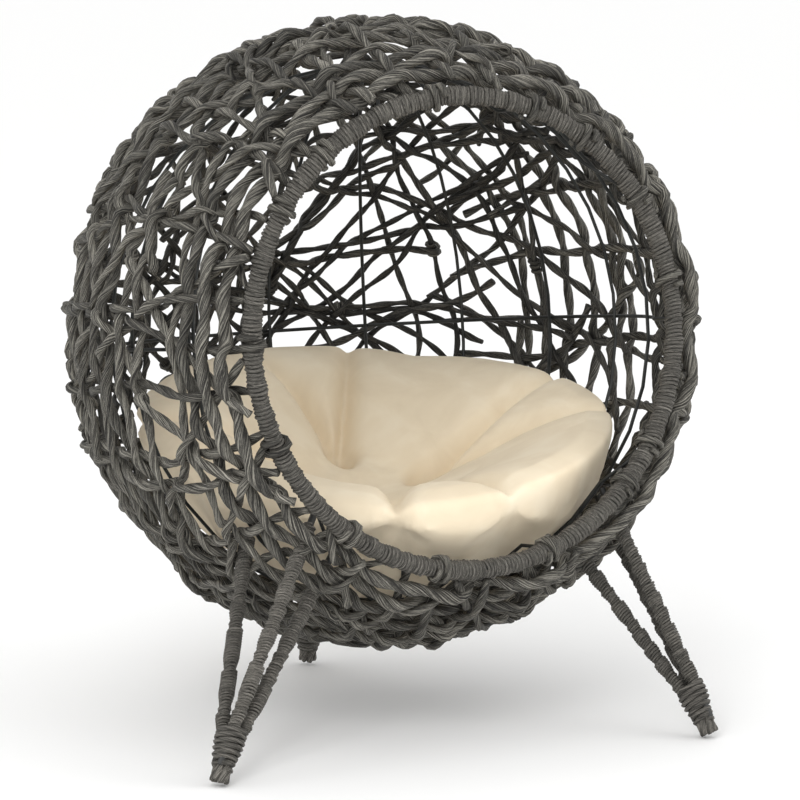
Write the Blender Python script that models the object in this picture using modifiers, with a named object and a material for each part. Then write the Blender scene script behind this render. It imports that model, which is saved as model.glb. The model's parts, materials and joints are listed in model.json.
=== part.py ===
"""Wicker pet bed basket: a woven ball with a round doorway, three wrapped legs and a loose cushion.

World frame: metres, +Z up, the feet stand on z = 0, and the doorway faces -Y.
Left and right are those of someone who looks in through the doorway, so left is -X.

The ball has its own frame, tilted back with the doorway:
    toward_doorway   out through the middle of the doorway
    toward_crown     up to the crown ring, where the frame wires meet
A direction in it is an azimuth from the doorway, positive to the right, and a latitude.
"""

from math import acos, asin, cos, pi, radians, sin, sqrt

import bmesh
import bpy
from mathutils import Matrix, Vector

# ---- Driving dimensions ----

BALL_RADIUS = 0.260
FLOOR_CLEARANCE = 0.053  # under the ball
TILT = radians(7)  # the doorway looks up by this much
DOORWAY_HALF_ANGLE = radians(50)  # seen from the middle of the ball
DOORWAY_INSET = 0.019  # the hoop's middle lies this far inside the ball's outside
GAP = 0.0003  # between pieces that touch

HOOP_ROD_RADIUS = 0.0042
HOOP_WRAP_THICKNESS = 0.0025
HOOP_WRAP_BREAK = 0.004  # between the two ends of the doorway's wrapping

WEAVE_THICKNESS = 0.034
WEAVE_RIM_SLANT = radians(7)  # the inner edge stands back from the doorway, to clear the wires

WIRE_RADIUS = 0.0015
RIB_COUNT = 16
RIB_STEPS = 18  # straight pieces in a half circle
SHORT_RIBS_A_SIDE = 2  # ribs that the doorway cuts short, each side of its middle
SHORT_RIB_MARGIN = radians(5)  # from the outermost of them to the doorway's edge
FLARE_ANGLE = radians(5)  # wires turn outwards this far from the doorway
CROWN_RING_RADIUS = 0.018

STRUT_ROD_RADIUS = 0.0028
STRUT_WRAP_THICKNESS = 0.0021
SOCKET_CLEARANCE = 0.0005
STRUT_SPACING = 0.0012  # least room between two wrapped struts where they part
SPACING_STEP = 0.0005  # how finely that place is looked for
WRAP_TOP_INSET = 0.0042  # a strut's wrapping stops this far short of the weave's inside
INNER_STRUT_LATITUDE = radians(-36)
OUTER_STRUT_LATITUDE = radians(-40)
LOWER_STRUT_LATITUDE = radians(-49)
BACK_UPPER_STRUT_LATITUDE = radians(-42)
BACK_LOWER_STRUT_LATITUDE = radians(-56)

FRONT_FOOT_REACH = 0.286  # from the ball's upright axis
BACK_FOOT_REACH = 0.177
FRONT_FOOT_SPREAD = radians(47.3)
LEGS_TURN = radians(-5)  # the tripod stands a little round from the doorway
TUFT_RADIUS = 0.0075
TUFT_FLAT_DEPTH = 0.0015  # taken off the tuft where it stands on the floor
TUFT_NECK = 0.006
ROD_START = 0.012  # from the tuft's middle to the ends of the rods
BINDING_CORD = 0.0020
BINDING_CLEARANCE = 0.0009  # round the three rods

CUSHION_TILT = radians(14)
CUSHION_SPREAD = radians(64)  # half angle that the cushion covers, seen from the ball's middle
CUSHION_MIDDLE_THICKNESS = 0.078
CUSHION_ROLL_THICKNESS = 0.073
CUSHION_ROLL_INSET = 0.036  # from the roll's top to the cushion's edge

BALL_STEPS = 36
HOOP_STEPS = 48
SMALL_RING_STEPS = 16
TUBE_SIDES = 10
TUFT_ARC_STEPS = 5

# ---- Places that follow from them ----


def chord_allowance(radius, steps):
    """How far the flats of a circle drawn in straight steps come inside it."""
    return radius * (1 - cos(pi / steps))


def foot_azimuths():
    """Azimuth of each foot round the ball's upright axis, from the -Y side."""
    return {
        "left": LEGS_TURN - FRONT_FOOT_SPREAD,
        "right": LEGS_TURN + FRONT_FOOT_SPREAD,
        "back": LEGS_TURN + pi,
    }


front_reach = FRONT_FOOT_REACH * cos(foot_azimuths()["right"]) + TUFT_RADIUS
BALL_CENTRE = Vector((0, (front_reach - BALL_RADIUS) / 2, FLOOR_CLEARANCE + BALL_RADIUS))

toward_right = Vector((1, 0, 0))
toward_doorway = Vector((0, -cos(TILT), sin(TILT)))
toward_crown = Vector((0, sin(TILT), cos(TILT)))
BALL_TURN = Matrix.Rotation(pi / 2 - TILT, 4, "X")  # takes +Z to toward_doorway

HOOP_SPHERE = BALL_RADIUS - DOORWAY_INSET
DOORWAY_RADIUS = HOOP_SPHERE * sin(DOORWAY_HALF_ANGLE)
DOORWAY_REACH = HOOP_SPHERE * cos(DOORWAY_HALF_ANGLE)
HOOP_WRAP_RADIUS = HOOP_ROD_RADIUS + GAP + HOOP_WRAP_THICKNESS

WEAVE_INSIDE = BALL_RADIUS - WEAVE_THICKNESS
WEAVE_FLATS = chord_allowance(WEAVE_INSIDE, BALL_STEPS)
EQUATOR_SPHERE = WEAVE_INSIDE - 2 * WEAVE_FLATS - GAP - WIRE_RADIUS
RIB_SPHERE = EQUATOR_SPHERE - 2 * WIRE_RADIUS - GAP
CUSHION_SPHERE = RIB_SPHERE - WIRE_RADIUS - chord_allowance(RIB_SPHERE, 2 * RIB_STEPS) - GAP

STRUT_WRAP_RADIUS = STRUT_ROD_RADIUS + GAP + STRUT_WRAP_THICKNESS

# ---- Scene and materials ----


def clear_scene():
    for old in list(bpy.data.objects):
        bpy.data.objects.remove(old, do_unlink=True)


def new_collection(name):
    collection = bpy.data.collections.new(name)
    bpy.context.scene.collection.children.link(collection)
    return collection


def material(name, colour, roughness, metallic=0.0):
    """A plain Principled BSDF material, made once for each name."""
    made = bpy.data.materials.get(name)
    if made is None:
        made = bpy.data.materials.new(name)
        made.use_nodes = True
        shader = made.node_tree.nodes["Principled BSDF"]
        shader.inputs["Base Color"].default_value = (*colour, 1)
        shader.inputs["Roughness"].default_value = roughness
        shader.inputs["Metallic"].default_value = metallic
    return made


def weave_cord():
    return material("weave_cord", (0.113, 0.105, 0.096), 0.8)


def wrapping_cord():
    return material("wrapping_cord", (0.130, 0.119, 0.106), 0.75)


def frame_wire():
    return material("frame_wire", (0.030, 0.031, 0.029), 0.35, 0.9)


def frame_rod():
    return material("frame_rod", (0.035, 0.035, 0.034), 0.45, 0.9)


def cushion_velvet():
    return material("cushion_velvet", (0.76, 0.65, 0.47), 0.9)


# ---- Ways of making a piece ----


def place(name, data, finish, matrix=None, collection=None):
    """Put mesh or curve data in the scene as the named piece."""
    piece = bpy.data.objects.new(name, data)
    piece.matrix_world = matrix or Matrix.Identity(4)
    data.materials.append(finish)
    (collection or basket).objects.link(piece)
    return piece


def wire_curve(name, points, radius, closed=False, filled=True):
    """Curve data for a round wire through the points."""
    curve = bpy.data.curves.new(name, "CURVE")
    curve.dimensions = "3D"
    curve.bevel_depth = radius
    curve.bevel_resolution = 2
    curve.use_fill_caps = filled and not closed
    spline = curve.splines.new("POLY")
    spline.points.add(len(points) - 1)
    for slot, point in zip(spline.points, points):
        slot.co = (*point, 1)
    spline.use_cyclic_u = closed
    return curve


def wire(name, points, radius, finish, closed=False):
    return place(name, wire_curve(name, points, radius, closed), finish)


def sleeve(name, points, outer_radius, thickness, finish):
    """A wrapping: a tube with open ends, made as a skin with Solidify turned inwards."""
    guide = place(name + "_guide", wire_curve(name, points, outer_radius, filled=False), finish)
    bpy.context.view_layer.update()
    depsgraph = bpy.context.evaluated_depsgraph_get()
    mesh = bpy.data.meshes.new_from_object(guide.evaluated_get(depsgraph), depsgraph=depsgraph)
    bpy.data.objects.remove(guide, do_unlink=True)
    mesh.materials.clear()
    piece = place(name, mesh, finish)
    shell = piece.modifiers.new("wall", "SOLIDIFY")
    shell.thickness = thickness
    shell.offset = -1
    shell.use_even_offset = True
    return piece


def turned(name, profile, finish, matrix, steps, closed=False):
    """A turned piece: the profile (radius, height) spun about the matrix's Z axis."""
    mesh = bpy.data.meshes.new(name)
    points = [(radius, 0, height) for radius, height in profile]
    edges = [(i, i + 1) for i in range(len(points) - 1)]
    if closed:
        edges.append((len(points) - 1, 0))
    mesh.from_pydata(points, edges, [])
    piece = place(name, mesh, finish, matrix)
    spin = piece.modifiers.new("turn", "SCREW")
    spin.axis = "Z"
    spin.steps = steps
    spin.render_steps = steps
    spin.use_merge_vertices = True
    spin.merge_threshold = 0.00001
    spin.use_smooth_shade = True
    return piece


def cutter(name, mesh, matrix):
    """A hidden shape that a Boolean takes away."""
    tool = place(name, mesh, frame_rod(), matrix, cutters)
    tool.hide_render = True
    tool.display_type = "WIRE"
    return tool


def cylinder_mesh(name, radius, length, sides):
    """A closed cylinder from z = 0 to z = length."""
    shape = bmesh.new()
    bmesh.ops.create_cone(
        shape,
        cap_ends=True,
        segments=sides,
        radius1=radius,
        radius2=radius,
        depth=length,
        matrix=Matrix.Translation((0, 0, length / 2)),
    )
    mesh = bpy.data.meshes.new(name)
    shape.to_mesh(mesh)
    shape.free()
    return mesh


def cut(piece, tool):
    trim = piece.modifiers.new("cut_" + tool.name, "BOOLEAN")
    trim.operation = "DIFFERENCE"
    trim.solver = "EXACT"
    trim.object = tool


def facing(origin, direction):
    """A matrix at the origin whose Z axis points along the direction."""
    turn = direction.to_track_quat("Z", "X").to_matrix().to_4x4()
    return Matrix.Translation(origin) @ turn


# ---- Directions on the ball ----


def ball_direction(azimuth, latitude):
    level = toward_doorway * cos(azimuth) + toward_right * sin(azimuth)
    return level * cos(latitude) + toward_crown * sin(latitude)


def ball_point(azimuth, latitude, radius):
    return BALL_CENTRE + ball_direction(azimuth, latitude) * radius


def rib_azimuth(number):
    """Azimuth of a rib, counted from the doorway's middle; the short ones share its width."""
    if abs(number) <= SHORT_RIBS_A_SIDE:
        return number * (DOORWAY_HALF_ANGLE - SHORT_RIB_MARGIN) / SHORT_RIBS_A_SIDE
    return number * 2 * pi / RIB_COUNT


def rib_latitude(azimuth, doorway_angle):
    """Latitude at which a rib comes within this angle of the doorway's axis."""
    return acos(min(1, cos(doorway_angle) / cos(azimuth)))


def end_on_doorway(start, doorway_point):
    """The end of a wire that runs straight from start until it touches the doorway's wrapping."""
    run = start - doorway_point
    spoke = doorway_point - BALL_CENTRE
    hoop_tangent = toward_doorway.cross(spoke).normalized()
    along = abs(run.normalized().dot(hoop_tangent))
    across = sqrt(1 - along**2)
    clearance = (HOOP_WRAP_RADIUS + GAP) / across + WIRE_RADIUS * along / across
    return doorway_point + run.normalized() * clearance


# ---- Doorway ----


def doorway_point(angle):
    """A point on the middle of the doorway's hoop; angle 0 is its lowest point."""
    spoke = -toward_crown * cos(angle) + toward_right * sin(angle)
    return BALL_CENTRE + toward_doorway * DOORWAY_REACH + spoke * DOORWAY_RADIUS


def make_doorway():
    """The steel hoop round the doorway, and the cord wound round it."""
    half_break = HOOP_WRAP_BREAK / DOORWAY_RADIUS / 2
    sweep = 2 * pi - 2 * half_break
    track = [doorway_point(half_break + sweep * i / HOOP_STEPS) for i in range(HOOP_STEPS + 1)]
    wire("doorway_hoop", track, HOOP_ROD_RADIUS, frame_rod(), closed=True)
    sleeve("doorway_wrap", track, HOOP_WRAP_RADIUS, HOOP_WRAP_THICKNESS, wrapping_cord())


# ---- Frame wires ----


def polar_margin():
    """Latitude left free at each pole, where a small ring joins the ribs."""
    clearance = CROWN_RING_RADIUS + 2 * WIRE_RADIUS + GAP
    return asin(clearance / RIB_SPHERE)


def arc_steps(span):
    return max(2, round(RIB_STEPS * abs(span) / pi))


def whole_rib(name, azimuth):
    """A rib that runs from the crown ring to the base ring behind the doorway."""
    top = pi / 2 - polar_margin()
    steps = arc_steps(2 * top)
    path = [ball_point(azimuth, top - 2 * top * i / steps, RIB_SPHERE) for i in range(steps + 1)]
    wire(name, path, WIRE_RADIUS, frame_wire())


def short_rib(name, azimuth, side):
    """A rib that the doorway cuts short: side is 1 above the doorway and -1 below it."""
    top = pi / 2 - polar_margin()
    flare = rib_latitude(azimuth, DOORWAY_HALF_ANGLE + FLARE_ANGLE)
    steps = arc_steps(top - flare)
    latitudes = [top + (flare - top) * i / steps for i in range(steps + 1)]
    path = [ball_point(azimuth, side * latitude, RIB_SPHERE) for latitude in latitudes]
    doorway = rib_latitude(azimuth, DOORWAY_HALF_ANGLE)
    path.append(end_on_doorway(path[-1], ball_point(azimuth, side * doorway, HOOP_SPHERE)))
    wire(name, path, WIRE_RADIUS, frame_wire())


def make_ribs():
    """Sixteen ribs round the ball; those in front of the doorway are in two lengths."""
    for number in range(-RIB_COUNT // 2 + 1, RIB_COUNT // 2 + 1):
        azimuth = rib_azimuth(number)
        side_name = "left" if number < 0 else "right"
        if abs(number) > SHORT_RIBS_A_SIDE:
            is_back = number == RIB_COUNT // 2
            whole_rib("rib_back" if is_back else f"rib_{side_name}_{abs(number)}", azimuth)
            continue
        place_name = "middle" if number == 0 else f"{side_name}_{abs(number)}"
        short_rib(f"short_rib_upper_{place_name}", azimuth, 1)
        short_rib(f"short_rib_lower_{place_name}", azimuth, -1)


def make_polar_ring(name, side):
    """A small ring that the ribs meet, at the crown or at the base."""
    height = side * sqrt(RIB_SPHERE**2 - CROWN_RING_RADIUS**2)
    middle = BALL_CENTRE + toward_crown * height
    ring = []
    for i in range(SMALL_RING_STEPS):
        angle = 2 * pi * i / SMALL_RING_STEPS
        spoke = toward_doorway * cos(angle) + toward_right * sin(angle)
        ring.append(middle + spoke * CROWN_RING_RADIUS)
    wire(name, ring, WIRE_RADIUS, frame_wire(), closed=True)


def make_equator_hoop():
    """The level hoop outside the ribs, from one side of the doorway round the back to the other."""
    flare = DOORWAY_HALF_ANGLE + FLARE_ANGLE
    sweep = 2 * pi - 2 * flare
    steps = 2 * arc_steps(sweep / 2)
    path = [ball_point(flare + sweep * i / steps, 0, EQUATOR_SPHERE) for i in range(steps + 1)]
    first = end_on_doorway(path[0], ball_point(DOORWAY_HALF_ANGLE, 0, HOOP_SPHERE))
    last = end_on_doorway(path[-1], ball_point(-DOORWAY_HALF_ANGLE, 0, HOOP_SPHERE))
    wire("equator_hoop", [first, *path, last], WIRE_RADIUS, frame_wire())


# ---- Legs ----


def leg_tops():
    """For each leg, the azimuth and latitude on the ribs where its three struts are fixed."""
    back = RIB_COUNT // 2
    tops = {}
    for leg, side in (("left", -1), ("right", 1)):
        tops[leg] = {
            "inner": (rib_azimuth(side * 2), INNER_STRUT_LATITUDE),
            "outer": (rib_azimuth(side * 3), OUTER_STRUT_LATITUDE),
            "lower": (rib_azimuth(side * 2), LOWER_STRUT_LATITUDE),
        }
    tops["back"] = {
        "inner": (rib_azimuth(back - 1), BACK_UPPER_STRUT_LATITUDE),
        "outer": (rib_azimuth(1 - back), BACK_UPPER_STRUT_LATITUDE),
        "lower": (rib_azimuth(back), BACK_LOWER_STRUT_LATITUDE),
    }
    return tops


def rod_top(start, azimuth, latitude):
    """Where a strut's rod stops: just clear of the rib that it is fixed to."""
    target = ball_point(azimuth, latitude, RIB_SPHERE)
    run = (start - target).normalized()
    rib_tangent = ball_direction(azimuth, latitude + pi / 2)
    along = abs(run.dot(rib_tangent))
    across = sqrt(1 - along**2)
    return target + run * ((WIRE_RADIUS + GAP) / across + STRUT_ROD_RADIUS * along / across)


def where_line_leaves(start, direction, radius):
    """Distance from start, inside the ball, at which the line passes out of this radius."""
    offset = start - BALL_CENTRE
    half = offset.dot(direction)
    return -half + sqrt(half**2 - offset.length_squared + radius**2)


def strut_lines(leg, tuft_middle):
    """Start and end of each rod, and the leg's own direction."""
    targets = {name: ball_point(*top, RIB_SPHERE) for name, top in leg_tops()[leg].items()}
    middle = sum(targets.values(), Vector()) / len(targets)
    axis = (middle - tuft_middle).normalized()
    first = targets["lower"] - middle
    first = (first - axis * first.dot(axis)).normalized()
    second = axis.cross(first)
    if second.dot(targets["inner"] - middle) < 0:
        second = -second
    third_turn = 2 * pi / 3
    spokes = {
        "lower": first,
        "inner": first * cos(third_turn) + second * sin(third_turn),
        "outer": first * cos(third_turn) - second * sin(third_turn),
    }
    circle = (2 * STRUT_ROD_RADIUS + GAP) / sqrt(3)
    lines = {}
    for name, spoke in spokes.items():
        start = tuft_middle + axis * ROD_START + spoke * circle
        lines[name] = (start, rod_top(start, *leg_tops()[leg][name]))
    return lines, axis


def at_height(line, tuft_middle, axis, height):
    """The point of a rod's line at this distance up the leg's own axis."""
    start, end = line
    low = (start - tuft_middle).dot(axis)
    high = (end - tuft_middle).dot(axis)
    return start.lerp(end, (height - low) / (high - low))


def wrap_start_height(lines, tuft_middle, axis):
    """The first height at which the three wrapped struts have room side by side."""
    needed = 2 * STRUT_WRAP_RADIUS + STRUT_SPACING
    height = ROD_START
    while True:
        spots = [at_height(line, tuft_middle, axis, height) for line in lines.values()]
        apart = min((a - b).length for a in spots for b in spots if a is not b)
        if apart >= needed:
            return height
        height += SPACING_STEP


def make_foot_tuft(leg, tuft_middle, axis, stem_radius, stem_top):
    """The rounded end of the cords under a foot, with a flat where it stands."""
    arc = [i * pi / 2 / TUFT_ARC_STEPS for i in range(1, TUFT_ARC_STEPS)]
    profile = [
        (0, stem_top),
        (stem_radius, stem_top),
        (stem_radius, TUFT_NECK - GAP),
        (TUFT_RADIUS, TUFT_NECK - GAP),
        (TUFT_RADIUS, 0),
        *((TUFT_RADIUS * cos(angle), -TUFT_RADIUS * sin(angle)) for angle in arc),
        (0, -TUFT_RADIUS),
    ]
    steps = SMALL_RING_STEPS
    tuft = turned(f"leg_{leg}_foot_tuft", profile, wrapping_cord(), facing(tuft_middle, axis), steps)
    block_size = 3 * TUFT_RADIUS
    block = cylinder_mesh("floor_block", block_size, block_size, 4)
    below = Matrix.Translation((tuft_middle.x, tuft_middle.y, -block_size))
    cut(tuft, cutter(f"floor_under_{leg}", block, below))


def make_foot_binding(leg, lines, tuft_middle, axis, top_height):
    """The cord bound round the three rods: a tapered sleeve. Returns its bore at the tuft."""

    def bore_at(height):
        spots = [at_height(line, tuft_middle, axis, height) for line in lines.values()]
        centre = tuft_middle + axis * height
        return max((spot - centre).length for spot in spots) + STRUT_ROD_RADIUS + BINDING_CLEARANCE

    low_bore = bore_at(ROD_START)
    high_bore = bore_at(top_height)
    profile = [
        (high_bore + BINDING_CORD, top_height),
        (low_bore + BINDING_CORD, ROD_START),
        (low_bore + BINDING_CORD, TUFT_NECK),
        (low_bore, TUFT_NECK),
        (low_bore, ROD_START),
        (high_bore, top_height),
    ]
    matrix = facing(tuft_middle, axis)
    name = f"leg_{leg}_foot_binding"
    turned(name, profile, wrapping_cord(), matrix, SMALL_RING_STEPS, closed=True)
    return low_bore


def make_strut(leg, name, line, first_wrap_point):
    """One strut: a steel rod, its wrapping, and the socket where it enters the weave."""
    start, end = line
    wire(f"leg_{leg}_{name}_rod", [start, end], STRUT_ROD_RADIUS, frame_rod())
    outward = (start - end).normalized()
    inside = where_line_leaves(end, outward, WEAVE_INSIDE + WRAP_TOP_INSET)
    wrap = [end + outward * inside, first_wrap_point]
    wrap_name = f"leg_{leg}_{name}_wrap"
    sleeve(wrap_name, wrap, STRUT_WRAP_RADIUS, STRUT_WRAP_THICKNESS, wrapping_cord())
    outside = where_line_leaves(end, outward, BALL_RADIUS + WEAVE_THICKNESS)
    bore = (STRUT_WRAP_RADIUS + SOCKET_CLEARANCE) / cos(pi / TUBE_SIDES)
    socket = cylinder_mesh("socket", bore, outside, TUBE_SIDES)
    return cutter(f"socket_{leg}_{name}", socket, facing(end, outward))


def make_leg(leg):
    """Three struts that run from one bound foot up to the ribs. Returns the sockets to cut."""
    reach = BACK_FOOT_REACH if leg == "back" else FRONT_FOOT_REACH
    azimuth = foot_azimuths()[leg]
    tuft_middle = Vector((BALL_CENTRE.x, BALL_CENTRE.y, 0))
    tuft_middle += Vector((sin(azimuth), -cos(azimuth), 0)) * reach
    tuft_middle.z = TUFT_RADIUS - TUFT_FLAT_DEPTH
    lines, axis = strut_lines(leg, tuft_middle)
    wrap_height = wrap_start_height(lines, tuft_middle, axis)
    lean = max((end - start).normalized().cross(axis).length for start, end in lines.values())
    binding_top = wrap_height - STRUT_WRAP_RADIUS * lean - GAP
    bore = make_foot_binding(leg, lines, tuft_middle, axis, binding_top)
    make_foot_tuft(leg, tuft_middle, axis, bore - GAP, ROD_START - STRUT_ROD_RADIUS * lean - GAP)
    sockets = []
    for name, line in lines.items():
        first_wrap_point = at_height(line, tuft_middle, axis, wrap_height)
        sockets.append(make_strut(leg, name, line, first_wrap_point))
    return sockets


# ---- Weave and cushion ----


def make_weave(sockets):
    """The woven skin as one closed shell, open at the doorway, with a socket for each strut."""
    edge = DOORWAY_HALF_ANGLE + (HOOP_WRAP_RADIUS + GAP) / HOOP_SPHERE
    inner_edge = edge + WEAVE_RIM_SLANT
    rings = BALL_STEPS // 3
    inside = [pi + (inner_edge - pi) * i / rings for i in range(rings + 1)]
    outside = [edge + (pi - edge) * i / rings for i in range(rings + 1)]
    profile = [(WEAVE_INSIDE * sin(angle), WEAVE_INSIDE * cos(angle)) for angle in inside]
    profile += [(BALL_RADIUS * sin(angle), BALL_RADIUS * cos(angle)) for angle in outside]
    profile[0] = (0, -WEAVE_INSIDE)
    profile[-1] = (0, -BALL_RADIUS)
    matrix = Matrix.Translation(BALL_CENTRE) @ BALL_TURN
    weave = turned("wicker_weave", profile, weave_cord(), matrix, BALL_STEPS)
    for socket in sockets:
        cut(weave, socket)


def make_cushion():
    """The loose cushion: round below to fit the ball, dished above inside a thick roll."""
    edge_radius = CUSHION_SPHERE * sin(CUSHION_SPREAD)
    edge_height = -CUSHION_SPHERE * cos(CUSHION_SPREAD)
    roll_radius = edge_radius - CUSHION_ROLL_INSET
    roll_top = CUSHION_ROLL_THICKNESS - sqrt(CUSHION_SPHERE**2 - roll_radius**2)
    dish_bottom = CUSHION_MIDDLE_THICKNESS - CUSHION_SPHERE
    profile = [(0, dish_bottom)]
    dish_steps = 6
    for i in range(1, dish_steps + 1):
        share = i / dish_steps
        lift = (1 - cos(pi * share)) / 2
        profile.append((roll_radius * share, dish_bottom + (roll_top - dish_bottom) * lift))
    roll_steps = 4
    for i in range(1, roll_steps + 1):
        angle = pi / 2 * (1 - i / roll_steps)
        radius = roll_radius + CUSHION_ROLL_INSET * cos(angle)
        profile.append((radius, edge_height + (roll_top - edge_height) * sin(angle)))
    below_steps = 7
    for i in range(1, below_steps):
        angle = CUSHION_SPREAD * (1 - i / below_steps)
        profile.append((CUSHION_SPHERE * sin(angle), -CUSHION_SPHERE * cos(angle)))
    profile.append((0, -CUSHION_SPHERE))
    matrix = Matrix.Translation(BALL_CENTRE) @ Matrix.Rotation(CUSHION_TILT, 4, "X")
    turned("cushion", profile, cushion_velvet(), matrix, BALL_STEPS)


# ---- Build ----

clear_scene()
basket = new_collection("wicker_pet_bed_basket")
cutters = new_collection("cutters")

make_doorway()
make_ribs()
make_polar_ring("crown_ring", 1)
make_polar_ring("base_ring", -1)
make_equator_hoop()
all_sockets = []
for leg_name in foot_azimuths():
    all_sockets += make_leg(leg_name)
make_weave(all_sockets)
make_cushion()
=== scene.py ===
# %% [markdown]
# # A wicker pet bed basket
# The basket is a ball of twisted paper cord, woven by hand over a cage of steel wire. It has a
# round doorway, three wrapped legs and a loose tufted cushion. The CAD frame fixes every size and
# place. This lesson adds what the frame leaves plain: the cords, the windings and the cushion.

import json
import math

import bpy
import numpy as np
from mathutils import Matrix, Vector
from mathutils.kdtree import KDTree


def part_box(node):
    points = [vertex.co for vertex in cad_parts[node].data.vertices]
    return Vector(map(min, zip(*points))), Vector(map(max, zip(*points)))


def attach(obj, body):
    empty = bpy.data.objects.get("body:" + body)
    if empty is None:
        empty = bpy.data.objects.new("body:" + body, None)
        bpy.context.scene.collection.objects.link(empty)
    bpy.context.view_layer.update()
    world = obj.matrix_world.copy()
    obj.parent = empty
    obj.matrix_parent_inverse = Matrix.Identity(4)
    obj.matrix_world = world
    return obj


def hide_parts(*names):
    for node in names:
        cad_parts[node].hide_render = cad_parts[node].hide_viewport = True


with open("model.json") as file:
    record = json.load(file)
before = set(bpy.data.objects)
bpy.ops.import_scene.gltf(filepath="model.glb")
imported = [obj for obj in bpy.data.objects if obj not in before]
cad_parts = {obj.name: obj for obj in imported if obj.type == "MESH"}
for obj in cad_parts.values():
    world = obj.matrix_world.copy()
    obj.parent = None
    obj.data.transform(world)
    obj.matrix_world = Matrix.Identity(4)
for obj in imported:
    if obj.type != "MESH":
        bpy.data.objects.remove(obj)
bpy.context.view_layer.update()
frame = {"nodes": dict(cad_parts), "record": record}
dice = np.random.default_rng(7)

# %% [markdown]
# ## Where things are
# A ball is easiest to weave in its own directions. Everything is measured from the doorway: the
# opening angle says how far round the ball a point is from the doorway's middle, and the clock
# angle says where it is round the doorway, from its lowest point. Both come from the CAD nodes.

# %% Find the ball and the doorway
def unit(vectors):
    """The vectors at length 1."""
    return vectors / np.linalg.norm(vectors, axis=-1, keepdims=True)


def corners(node):
    """A node's lowest and highest corners as arrays."""
    low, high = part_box(node)
    return np.array(low), np.array(high)


weave_low, weave_high = corners("wicker_weave")
ball_radius = (weave_high[0] - weave_low[0]) / 2
ball_centre = np.array([0.0, weave_high[1] - ball_radius, weave_high[2] - ball_radius])
hoop_low, hoop_high = corners("doorway_hoop")
wrap_low, wrap_high = corners("doorway_wrap")
hoop_centre = (hoop_low + hoop_high) / 2
toward_doorway = unit(hoop_centre - ball_centre)
toward_right = np.array([1.0, 0.0, 0.0])
toward_crown = np.cross(toward_doorway, toward_right)
WRAP_RADIUS = 0.007  # of the wrapped hoop, across its rod
doorway_radius = (wrap_high[0] - wrap_low[0]) / 2 - WRAP_RADIUS
doorway_reach = np.linalg.norm(hoop_centre - ball_centre)
doorway_angle = math.atan2(doorway_radius, doorway_reach)
print("ball radius", round(ball_radius, 4), "doorway angle", round(math.degrees(doorway_angle), 1))


def ball_direction(opening, clock):
    """Directions from the ball's middle; angles may be arrays."""
    opening, clock = np.broadcast_arrays(opening, clock)
    level = -np.cos(clock)[..., None] * toward_crown + np.sin(clock)[..., None] * toward_right
    return np.cos(opening)[..., None] * toward_doorway + np.sin(opening)[..., None] * level


# %% [markdown]
# ## One way of making every cord
# All the cord on the basket is paper twisted from two plies, so one builder serves for all of it.
# It carries a ring of points along a path and squeezes the ring at two sides, turning the squeeze
# as it goes, which gives the twist as real shape. A curve object with a bevel would be shorter to
# write, but its section is always round. Each point also stores where it is on its cord, so the
# fibres in the material can run along the cord and follow its twist.

# %% Cord mesh builder
TWIST_PITCH = 0.060  # one full turn of the two plies
PLY_GROOVE = 0.18  # how deep the groove between the plies is, as a share of the radius
PLACE_RANGE = 50  # cords start at different places in the fibre noise


def cord_rings(path, outward, radius, sides, groove):
    """Points and stored places for one cord, as (rings, sides, 3) arrays."""
    tangent = unit(np.gradient(path, axis=0))
    across = unit(outward - (outward * tangent).sum(1, keepdims=True) * tangent)
    beside = np.cross(tangent, across)
    steps = np.linalg.norm(np.diff(path, axis=0), axis=1)
    along = np.concatenate([[0.0], np.cumsum(steps)])
    angle = 2 * math.pi * np.arange(sides) / sides
    turned = angle[None, :] - 2 * math.pi * along[:, None] / TWIST_PITCH
    size = np.broadcast_to(radius, along.shape)[:, None] * (1 - groove + groove * np.cos(2 * turned))
    spokes = np.cos(angle)[None, :, None] * across[:, None] + np.sin(angle)[None, :, None] * beside[:, None]
    points = path[:, None] + size[..., None] * spokes
    start = dice.uniform(0, PLACE_RANGE)
    stored = np.stack([np.cos(turned), np.sin(turned), np.repeat(along[:, None], sides, 1) + start], -1)
    return points, stored


def cord_piece(name, cords, finish, sides=10, groove=PLY_GROOVE):
    """One object made of several closed cords, each given as (path, outward, radius)."""
    points, stored, tones, loops, sizes = [], [], [], [], []
    first = 0
    for path, outward, radius in cords:
        ring_points, ring_stored = cord_rings(path, outward, radius, sides, groove)
        rings = len(path)
        number = first + np.arange(rings * sides).reshape(rings, sides)
        beside = np.roll(number, -1, axis=1)
        quads = np.stack([number[:-1], beside[:-1], beside[1:], number[1:]], -1).reshape(-1, 4)
        loops += [quads.ravel(), number[0, ::-1], number[-1]]
        sizes += [np.full(len(quads), 4), [sides], [sides]]
        points.append(ring_points.reshape(-1, 3))
        stored.append(ring_stored.reshape(-1, 3))
        tones.append(np.full(rings * sides, dice.uniform(0, 1)))
        first += rings * sides
    mesh = mesh_from_arrays(name, np.vstack(points), np.concatenate(loops), np.concatenate(sizes))
    place = mesh.attributes.new("cord_place", "FLOAT_VECTOR", "POINT")
    place.data.foreach_set("vector", np.vstack(stored).ravel())
    tone = mesh.attributes.new("cord_tone", "FLOAT", "POINT")
    tone.data.foreach_set("value", np.concatenate(tones))
    piece = placed(name, mesh, finish)
    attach(piece, "basket")
    return piece


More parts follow.
